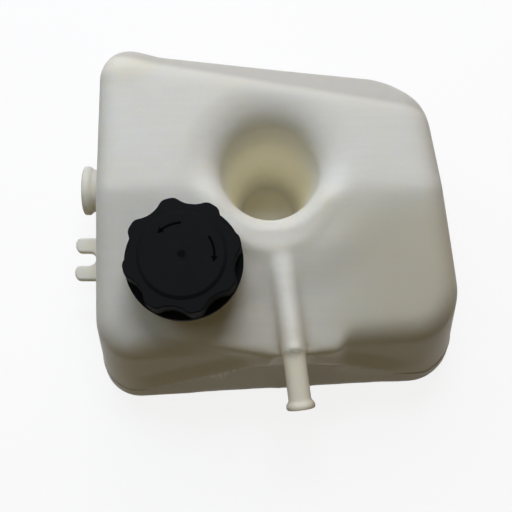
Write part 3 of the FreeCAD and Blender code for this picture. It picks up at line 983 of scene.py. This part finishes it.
    def _foot(self, at: SkinPlaces) -> np.ndarray:
        """Share of the fill at the foot of the shoulder."""
        ring = rise(at.reach, self.foot_from) * fall(at.reach, self.foot_until)
        return ring * self._front(at) * rise(at.z, self.deck_z)

    def _ridge(self, at: SkinPlaces) -> np.ndarray:
        """Share of the rise of the channel towards its hose tube."""
        crest = slope(at.along, self.ridge_run) * fall(at.aside, self.ridge_aside)
        return crest * (at.along < self.ridge_end) * rise(at.z, self.ridge_z)

    def _collar(self, at: SkinPlaces) -> np.ndarray:
        """Share of the deep smoothing round the mouth and the shoulder of the well.

        Args:
            at: places of the vertices.

        Returns:
            The shares.
        """
        shoulder = rise(at.reach, self.shoulder_from) * fall(at.reach, self.shoulder_until)
        shoulder *= fall(at.y, self.shoulder_y) * rise(at.z, self.deck_z)
        mouth = rise(at.reach, self.mouth_from) * fall(at.reach, self.mouth_until)
        mouth *= rise(at.y, self.mouth_y) * rise(at.z, self.mouth_z)
        crest = fall(at.aside, self.crest_aside) * rise(at.along, self.crest_along)
        clear = rise(at.off_filler, self.collar_clear)
        return np.maximum(shoulder * (1.0 - self.crest_kept * crest), mouth) * clear

    def _flanks(self, at: SkinPlaces) -> np.ndarray:
        """Share of the smoothing along the channel and round the prow.

        Args:
            at: places of the vertices.

        Returns:
            The shares.
        """
        flank = fall(at.aside, self.flank_aside) * rise(at.along, self.flank_from)
        flank *= fall(at.along, self.flank_until) * rise(at.z, self.flank_z)
        prow = rise(at.aside, self.prow_from) * fall(at.aside, self.prow_until)
        prow *= rise(at.along, self.prow_along)
        return np.maximum(flank * self.flank_share, prow)

    def _above_parting(self, at: SkinPlaces) -> np.ndarray:
        """Share of the step along the front wall, where the upper mould half stands out.

        Args:
            at: places of the vertices.

        Returns:
            The shares.
        """
        line = np.where(at.x < 0, PartingLine.LEFT.height(at.x), PartingLine.RIGHT.height(at.x))
        over = at.z - line
        step = np.where(over > 0, fall(over, self.ledge_over), rise(over, self.ledge_under))
        ends = rise(at.x, self.ledge_left) * fall(at.x, self.ledge_right)
        tube = rise(np.abs(at.x - self.tube_x), self.tube_clear)
        return step * fall(at.y, self.ledge_y) * ends * tube

    def _corner(self, at: SkinPlaces) -> np.ndarray:
        """Share of the hump at the rear left corner."""
        return fall(at.from_point(self.hump), self.hump_reach)

    def _smooth(self, skin: bpy.types.Object, rule: Rule, rounds: int) -> None:
        """Relax the skin where a rule says so.

        Args:
            skin: the skin.
            rule: gives each vertex its share of the smoothing.
            rounds: number of smoothing rounds.
        """
        group = self._weigh(skin, rule)
        Bench.apply(skin, "SMOOTH", factor=0.5, iterations=rounds, vertex_group=group)
        skin.vertex_groups.clear()

    def _push(
        self, skin: bpy.types.Object, rule: Rule, height: float, direction: str = "NORMAL"
    ) -> None:
        """Push the skin where a rule says so.

        Args:
            skin: the skin.
            rule: gives each vertex its share of the height.
            height: full height of the push.
            direction: NORMAL or an axis.
        """
        group = self._weigh(skin, rule)
        Bench.apply(
            skin, "DISPLACE", direction=direction, strength=height, mid_level=0.0, vertex_group=group
        )
        skin.vertex_groups.clear()

    def _weigh(self, skin: bpy.types.Object, rule: Rule) -> str:
        """Write the shares of a rule into a vertex group, in even steps.

        Args:
            skin: the skin.
            rule: gives each vertex its share.

        Returns:
            The name of the group.
        """
        group = skin.vertex_groups.new(name="share")
        shares = rule(SkinPlaces(Bench.points(skin)))
        steps = np.round(shares * self.share_steps).astype(int)
        for step in np.unique(steps[steps > 0]):
            group.add(np.nonzero(steps == step)[0].tolist(), step / self.share_steps, "REPLACE")
        return group.name


class PartingLine(Enum):
    """Slanting stretches of the parting line on the front wall: inner end, then outer end."""

    LEFT = (mm(-16.0, 66.0), mm(-110.0, 24.0))
    RIGHT = (mm(45.0, 59.0), mm(110.0, 24.0))

    @property
    def slant(self) -> float:
        """Rise of the stretch per unit of width."""
        inner, outer = self.value
        return (inner[1] - outer[1]) / (inner[0] - outer[0])

    def height(self, x: Measure) -> Measure:
        """Height of the stretch over the base at a place, or places, across the front."""
        inner = self.value[0]
        return inner[1] + (x - inner[0]) * self.slant


@dataclass
class SeamBead:
    """Thin bead of flash along the parting line of the mould."""

    finishes: Finishes
    skin: bpy.types.Object
    level: float = 24.0 * MM
    radius: float = 0.5 * MM
    front_y: float = -62.0 * MM

    def build(self) -> list[bpy.types.Object]:
        """Model the bead from cuts through the skin.

        Returns:
            The bead.
        """
        low, high = PartingLine.LEFT.value[1][0], PartingLine.RIGHT.value[1][0]
        runs = [
            self._run("walls", 0.0, self.level, lambda v: v.y > self.front_y or not low < v.x < high)
        ]
        for stretch in PartingLine:
            left, right = sorted(end[0] for end in stretch.value)
            runs.append(self._run(
                stretch.name, stretch.slant, stretch.height(0.0),
                lambda v, left=left, right=right: v.y < self.front_y and left < v.x < right,
            ))
        Bench.join(*runs)
        bead = Bench.started("parting_bead")
        return [Bench.finish(bead, self.finishes.milky, Body.TANK, Slot.TANK, angle=80.0)]

    def _run(
        self, name: str, slant: float, height: float, keep: Callable[[Vector], bool]
    ) -> bpy.types.Object:
        """Cut one stretch of the bead out of a copy of the skin.

        Args:
            name: name of the stretch.
            slant: rise of the cut per unit of width.
            height: height of the cut in the middle plane.
            keep: says which places belong to the stretch.

        Returns:
            The stretch as a thin round bar.
        """
        run = bpy.data.objects.new(name, self.skin.data.copy())
        bpy.context.scene.collection.objects.link(run)
        Bench.take(run)
        bpy.ops.object.mode_set(mode="EDIT")
        bpy.ops.mesh.select_all(action="SELECT")
        bpy.ops.mesh.bisect(
            plane_co=(0.0, 0.0, height), plane_no=Vector((-slant, 0.0, 1.0)).normalized(),
            clear_inner=True, clear_outer=True,
        )
        bpy.ops.object.mode_set(mode="OBJECT")
        spots = Bench.points(run)
        far = Vector(spots[np.argmax(spots[:, 0])])
        Bench.pick(run, "VERT", lambda v: (v.co - far).length < NEAR)
        bpy.ops.mesh.select_linked()
        bpy.ops.mesh.select_all(action="INVERT")
        bpy.ops.mesh.delete(type="VERT")
        Bench.pick(run, "VERT", lambda v: not keep(v.co))
        bpy.ops.mesh.delete(type="VERT")
        Bench.take(run)
        bpy.ops.object.convert(target="CURVE")
        wire = bpy.context.view_layer.objects.active.data
        wire.bevel_depth = self.radius
        wire.bevel_resolution = 1
        bpy.ops.object.convert(target="MESH")
        return bpy.context.view_layer.objects.active


@dataclass
class ScrewThread:
    """Single right-hand thread on the filler axis."""

    name: str
    root: float
    crest: float
    start: float
    turns: float = 2.3
    pitch: float = 4.0 * MM
    root_width: float = 1.9 * MM
    crest_width: float = 1.0 * MM
    steps: int = 72

    def build(self, finish: bpy.types.Material, body: Body, slot: Slot) -> bpy.types.Object:
        """Model the thread from its section.

        Args:
            finish: material of the thread.
            body: body that carries it.
            slot: record slot of its finish; not used.

        Returns:
            The thread.
        """
        centre = Bench.axis()
        steps = int(self.steps * self.turns)
        Bench.clear()
        bpy.ops.mesh.primitive_plane_add(size=1.0, rotation=(math.pi / 2, 0.0, 0.0))
        thread = Bench.started(self.name)
        thread.scale = (abs(self.crest - self.root), self.root_width, 1.0)
        thread.location = ((self.root + self.crest) / 2, 0.0, 0.0)
        bpy.ops.object.transform_apply(location=True, rotation=True, scale=True)
        Bench.pick(thread, "VERT", lambda v: abs(v.co.x - self.crest) < NEAR)
        bpy.ops.transform.resize(
            value=(1.0, 1.0, self.crest_width / self.root_width),
            center_override=(self.crest, 0.0, 0.0),
        )
        bpy.ops.mesh.select_all(action="SELECT")
        bpy.ops.mesh.delete(type="ONLY_FACE")
        bpy.ops.object.mode_set(mode="OBJECT")
        Bench.apply(
            thread, "SCREW", angle=2 * math.pi * self.turns, iterations=1, axis="Z",
            screw_offset=self.pitch * self.turns, steps=steps, render_steps=steps,
            use_smooth_shade=True,
        )
        Bench.take(thread)
        bpy.ops.object.mode_set(mode="EDIT")
        bpy.ops.mesh.select_all(action="SELECT")
        bpy.ops.mesh.fill_holes(sides=4)
        bpy.ops.mesh.normals_make_consistent(inside=False)
        bpy.ops.transform.translate(value=(centre.x, centre.y, self.start))
        bpy.ops.object.mode_set(mode="OBJECT")
        return Bench.finish(thread, finish, body, slot, angle=40.0)


@dataclass
class FillerThreads:
    """Thread round the filler neck and the one in the cap that runs on it."""

    finishes: Finishes
    neck_root: float = 26.2 * MM
    neck_crest: float = 28.5 * MM
    neck_below_top: float = 13.5 * MM
    cap_root: float = 29.5 * MM
    cap_crest: float = 27.0 * MM
    cap_below_top: float = 11.5 * MM

    def build(self) -> list[bpy.types.Object]:
        """Model both threads.

        Returns:
            The threads of the neck and the cap.
        """
        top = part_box("tank_body")[1].z
        neck = ScrewThread(
            "neck_thread", root=self.neck_root, crest=self.neck_crest, start=top - self.neck_below_top
        )
        cap = ScrewThread(
            "cap_thread", root=self.cap_root, crest=self.cap_crest, start=top - self.cap_below_top
        )
        return [
            neck.build(self.finishes.milky, Body.TANK, Slot.TANK),
            cap.build(self.finishes.black, Body.CAP, Slot.CAP),
        ]


@dataclass
class CapMarks:
    """Raised turn arrows and the ring left by the moulding gate on top of the cap."""

    finishes: Finishes
    radius: float = 21.0 * MM
    width: float = 1.5 * MM
    height: float = 0.45 * MM
    sink: float = 0.15 * MM
    head: float = 2.5 * MM
    arcs: tuple[Span, ...] = ((92.0, 40.0), (35.0, -42.0))
    arc_steps: int = 20
    gate_radius: float = 3.4 * MM
    gate_width: float = 0.8 * MM
    gate_sides: int = 48

    def build(self) -> list[bpy.types.Object]:
        """Model the marks.

        Returns:
            The arrows and the ring.
        """
        pieces = []
        for index, (start, span) in enumerate(self.arcs):
            arrow = self._arrow(f"cap_arrow_{index}", start, span)
            # Painted shade: the arrows take a darker black for the shade along their relief
            pieces.append(Bench.finish(arrow, self.finishes.smooth_shaded_black, Body.CAP, Slot.CAP))
        pieces.append(Bench.finish(self._gate(), self.finishes.black, Body.CAP, Slot.CAP))
        return pieces

    def _middle(self) -> Vector:
        """Middle of the marks' height on the filler axis."""
        return Bench.axis() + Vector((0.0, 0.0, self.height / 2 - self.sink))

    def _on_arc(self, angle: float) -> Vector:
        """Place on the arc of the arrows at an angle in radians."""
        return self._middle() + self.radius * Vector((math.cos(angle), math.sin(angle), 0.0))

    def _arrow(self, name: str, start: float, span: float) -> bpy.types.Object:
        """Sweep one arc and join its head.

        Args:
            name: name of the arrow.
            start: angle of the blunt end, in degrees.
            span: turn from the blunt end to the head, in degrees.

        Returns:
            The arrow.
        """
        middle = self._middle()
        blunt, tip = math.radians(start), math.radians(start + span)
        Bench.clear()
        bpy.ops.mesh.primitive_plane_add(size=1.0, rotation=(math.pi / 2, 0.0, blunt))
        arc = Bench.started(name)
        arc.scale = (self.width, self.height, 1.0)
        arc.location = self._on_arc(blunt)
        bpy.ops.object.transform_apply(location=True, rotation=True, scale=True)
        bpy.ops.object.mode_set(mode="EDIT")
        bpy.ops.mesh.select_all(action="SELECT")
        bpy.ops.mesh.spin(steps=self.arc_steps, angle=blunt - tip, center=middle, axis=(0, 0, 1))
        bpy.ops.mesh.select_all(action="SELECT")
        bpy.ops.mesh.normals_make_consistent(inside=False)
        Bench.clear()
        bpy.ops.mesh.primitive_cylinder_add(
            vertices=3, radius=self.head, depth=self.height, location=self._on_arc(tip),
            rotation=(0.0, 0.0, tip if span > 0 else tip + math.pi),
        )
        Bench.join(arc, Bench.started(name + "_head"))
        Bench.pick(arc, "EDGE", lambda e: min(v.co.z for v in e.verts) > middle.z)
        bpy.ops.mesh.bevel(offset=self.sink, segments=2, affect="EDGES")
        bpy.ops.object.mode_set(mode="OBJECT")
        return arc

    def _gate(self) -> bpy.types.Object:
        """Turn the ring in the middle of the cap.

        Returns:
            The ring.
        """
        middle = self._middle()
        Bench.clear()
        bpy.ops.mesh.primitive_cylinder_add(
            vertices=self.gate_sides, radius=self.gate_radius, depth=self.height, location=middle
        )
        ring = Bench.started("cap_gate_ring")
        bpy.ops.object.transform_apply(location=True)
        Bench.pick(ring, "FACE", lambda f: f.normal.z > 0.9)
        bpy.ops.mesh.inset(thickness=self.gate_width)
        bpy.ops.transform.translate(value=(0.0, 0.0, self.sink - self.height))
        Bench.pick(ring, "EDGE", lambda e: min(v.co.z for v in e.verts) > middle.z)
        bpy.ops.mesh.bevel(offset=self.sink / 2, segments=2, affect="EDGES")
        bpy.ops.object.mode_set(mode="OBJECT")
        return ring


@dataclass
class ValveSpring:
    """Coil spring of a valve, copied from the imported node and carried by one body of the cap."""

    node: str
    joint: str
    travel: float
    body: Body
    hangs: bool

    def build(self, finish: bpy.types.Material) -> bpy.types.Object:
        """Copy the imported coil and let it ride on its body.

        Args:
            finish: material of the wire.

        Returns:
            The spring.
        """
        spring = Bench.copy_of(self.node, self.node + "_coil")
        low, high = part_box(self.node)
        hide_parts(self.node)
        Bench.finish(spring, finish, self.body, Slot.SPRING, angle=60.0)
        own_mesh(spring)
        return spring


@dataclass
class CapValves:
    """Springs of the two valves and the finishes of all that is packed in the cap."""

    finishes: Finishes
    lift: float = 2.5 * MM
    drop: float = 1.5 * MM

    def build(self) -> list[bpy.types.Object]:
        """Copy the springs and let them ride on their bodies.

        Returns:
            The springs.
        """
        springs = (
            ValveSpring("pressure_spring", "pressure_lift", self.lift, Body.INSERT, hangs=True),
            ValveSpring("vacuum_spring", "vacuum_drop", self.drop, Body.PRESSURE, hangs=False),
        )
        return [spring.build(self.finishes.steel) for spring in springs]

    def dress(self) -> list[bpy.types.Object]:
        """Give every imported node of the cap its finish.

        Returns:
            The nodes.
        """
        plan = {
            "cap_shell": self.finishes.black,
            "valve_insert": self.finishes.grey,
            "spring_cover": self.finishes.grey,
            "neck_ring": self.finishes.rubber,
            "pressure_washer": self.finishes.rubber,
            "pressure_spring": self.finishes.steel,
            "vacuum_spring": self.finishes.steel,
            "pressure_plate": self.finishes.steel,
            "stem_keeper": self.finishes.brass,
            "vacuum_poppet": self.finishes.brass,
        }
        for name, finish in plan.items():
            frame["nodes"][name].data.materials.clear()
            frame["nodes"][name].data.materials.append(finish)
        return [frame["nodes"][name] for name in plan]


# Studio


@dataclass(frozen=True)
class SoftLamp:
    """Rectangular lamp: azimuth and tilt in degrees, size in metres, power in watts."""

    name: str
    azimuth: float
    tilt: float
    size: Span
    power: float
    tint: Point

    def hang(self, aim: Vector, distance: float) -> bpy.types.Object:
        """Hang the lamp so that it looks at a place.

        Args:
            aim: the place.
            distance: distance of the lamp from it.

        Returns:
            The lamp.
        """
        data = bpy.data.lights.new(self.name, "AREA")
        data.shape = "RECTANGLE"
        data.size, data.size_y = self.size
        data.energy = self.power
        data.color = self.tint
        turn, lean = math.radians(self.azimuth), math.radians(self.tilt)
        away = Vector(
            (math.sin(lean) * math.cos(turn), math.sin(lean) * math.sin(turn), math.cos(lean))
        )
        lamp = bpy.data.objects.new(self.name, data)
        lamp.location = aim + away * distance
        lamp.rotation_euler = (-away).to_track_quat("-Z", "Y").to_euler()
        bpy.context.scene.collection.objects.link(lamp)
        return lamp


@dataclass
class Studio:
    """Floor, lights and camera."""

    finishes: Finishes
    floor_size: float = 60.0
    eye: Point = mm(-15.5, -188.97, 802.06)
    aim: Point = mm(-15.5, -31.5, 120.0)
    lens: float = 73.125
    sensor: float = 36.0
    near: float = 0.01
    far: float = 200.0
    world: Colour = (1.0, 0.80, 0.46, 1.0)
    world_level: float = 0.085
    lamp_distance: float = 1.5
    lamps: tuple[SoftLamp, ...] = (
        SoftLamp(
            "top_panel", azimuth=90.0, tilt=24.0, size=(0.6, 0.3), power=7.3, tint=(0.93, 1.0, 1.16)
        ),
        SoftLamp(
            "back_window", azimuth=90.0, tilt=45.0, size=(1.0, 0.6), power=8.9, tint=(1.02, 0.95, 0.98)
        ),
        SoftLamp(
            "left_window", azimuth=135.0, tilt=50.0, size=(0.8, 0.8), power=4.4, tint=(0.72, 0.95, 1.25)
        ),
        SoftLamp(
            "side_panel", azimuth=180.0, tilt=20.0, size=(0.4, 0.6), power=1.3, tint=(1.0, 0.94, 0.88)
        ),
    )

    def build(self) -> list[bpy.types.Object]:
        """Set up the studio.

        Returns:
            Floor, lamps and camera.
        """
        self._world()
        lamps = [lamp.hang(Vector(self.aim), self.lamp_distance) for lamp in self.lamps]
        return [self._floor(), *lamps, self._camera()]

    def _floor(self) -> bpy.types.Object:
        """Lay the floor under the tank.

        Returns:
            The floor.
        """
        Bench.clear()
        bpy.ops.mesh.primitive_plane_add(size=self.floor_size)
        floor = Bench.started("studio_floor")
        bpy.ops.object.mode_set(mode="EDIT")
        bpy.ops.mesh.subdivide(number_cuts=4)
        bpy.ops.object.mode_set(mode="OBJECT")
        floor.data.materials.append(self.finishes.floor)
        return floor

    def _world(self) -> None:
        """Light the room evenly and show colours as they are."""
        scene = bpy.context.scene
        scene.world = bpy.data.worlds.new("room")
        scene.world.use_nodes = True
        sky = scene.world.node_tree.nodes["Background"]
        sky.inputs["Color"].default_value = self.world
        sky.inputs["Strength"].default_value = self.world_level
        scene.view_settings.view_transform = "Standard"

    def _camera(self) -> bpy.types.Object:
        """Stand the camera where the picture was taken.

        Returns:
            The camera.
        """
        data = bpy.data.cameras.new("camera")
        data.lens = self.lens
        data.sensor_width = self.sensor
        data.clip_start = self.near
        data.clip_end = self.far
        camera = bpy.data.objects.new("camera", data)
        camera.location = self.eye
        look = Vector(self.aim) - Vector(self.eye)
        camera.rotation_euler = look.to_track_quat("-Z", "Y").to_euler()
        bpy.context.scene.collection.objects.link(camera)
        bpy.context.scene.camera = camera
        return camera


def report(pieces: list[bpy.types.Object]) -> None:
    """Log each piece with its triangles, where it is a mesh.

    Args:
        pieces: the objects.
    """
    for piece in pieces:
        count = f"{Bench.triangles(piece)} triangles" if piece.type == "MESH" else piece.type.lower()
        LOG.info("%s: %s", piece.name, count)


def main() -> None:
    """Build the scene piece by piece."""
    logging.basicConfig(level=logging.INFO, format="%(message)s")
    finishes = Finishes()
    skin = TankSkin(finishes).build()
    report([skin])
    report(SeamBead(finishes, skin).build())
    report(FillerThreads(finishes).build())
    report(CapMarks(finishes).build())
    valves = CapValves(finishes)
    report(valves.build())
    report(valves.dress())
    report(Studio(finishes).build())


if __name__ == "__main__":
    main()
